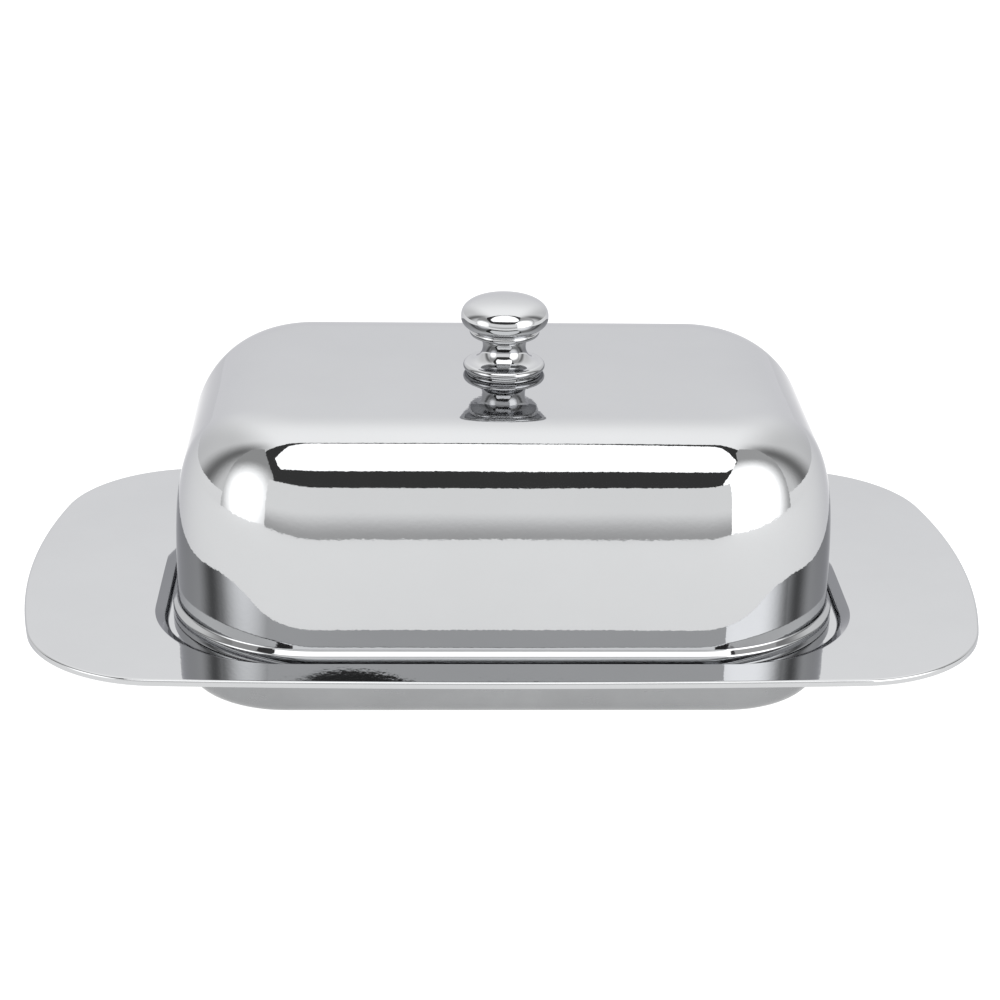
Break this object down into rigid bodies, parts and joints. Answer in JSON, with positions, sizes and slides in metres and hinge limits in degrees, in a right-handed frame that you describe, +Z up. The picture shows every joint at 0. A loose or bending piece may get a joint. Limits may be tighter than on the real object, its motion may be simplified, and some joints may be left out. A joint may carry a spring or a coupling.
{
  "type": "butter dish",
  "caption": "Oblong polished steel butter dish: a flat-rimmed tray with a recessed well, and a deep rounded lid with a turned knob that lifts straight off.",
  "frame": {"origin": "on the table plane, under the middle of the tray's flat underside", "axes": "+X along the tray's length, +Y across the tray, +Z up through the knob; the picture looks along +Y"},
  "size_m": [0.195, 0.1124, 0.0726],
  "materials": {
    "polished_sheet": "mirror-polished stainless steel sheet, satin on the underside of the well",
    "knob_steel": "mirror-polished turned steel",
    "fastener_steel": "plated fastener steel"
  },
  "bodies": {
    "tray": {"tray": "polished_sheet"},
    "cover": {"lid_shell": "polished_sheet", "knob": "knob_steel", "knob_screw": "fastener_steel", "knob_washer": "fastener_steel"}
  },
  "joints": [
    {"name": "lid_lift", "type": "slide", "parent": "tray", "child": "cover", "axis": [0, 0, 1], "range_m": [0, 0.1]}
  ]
}
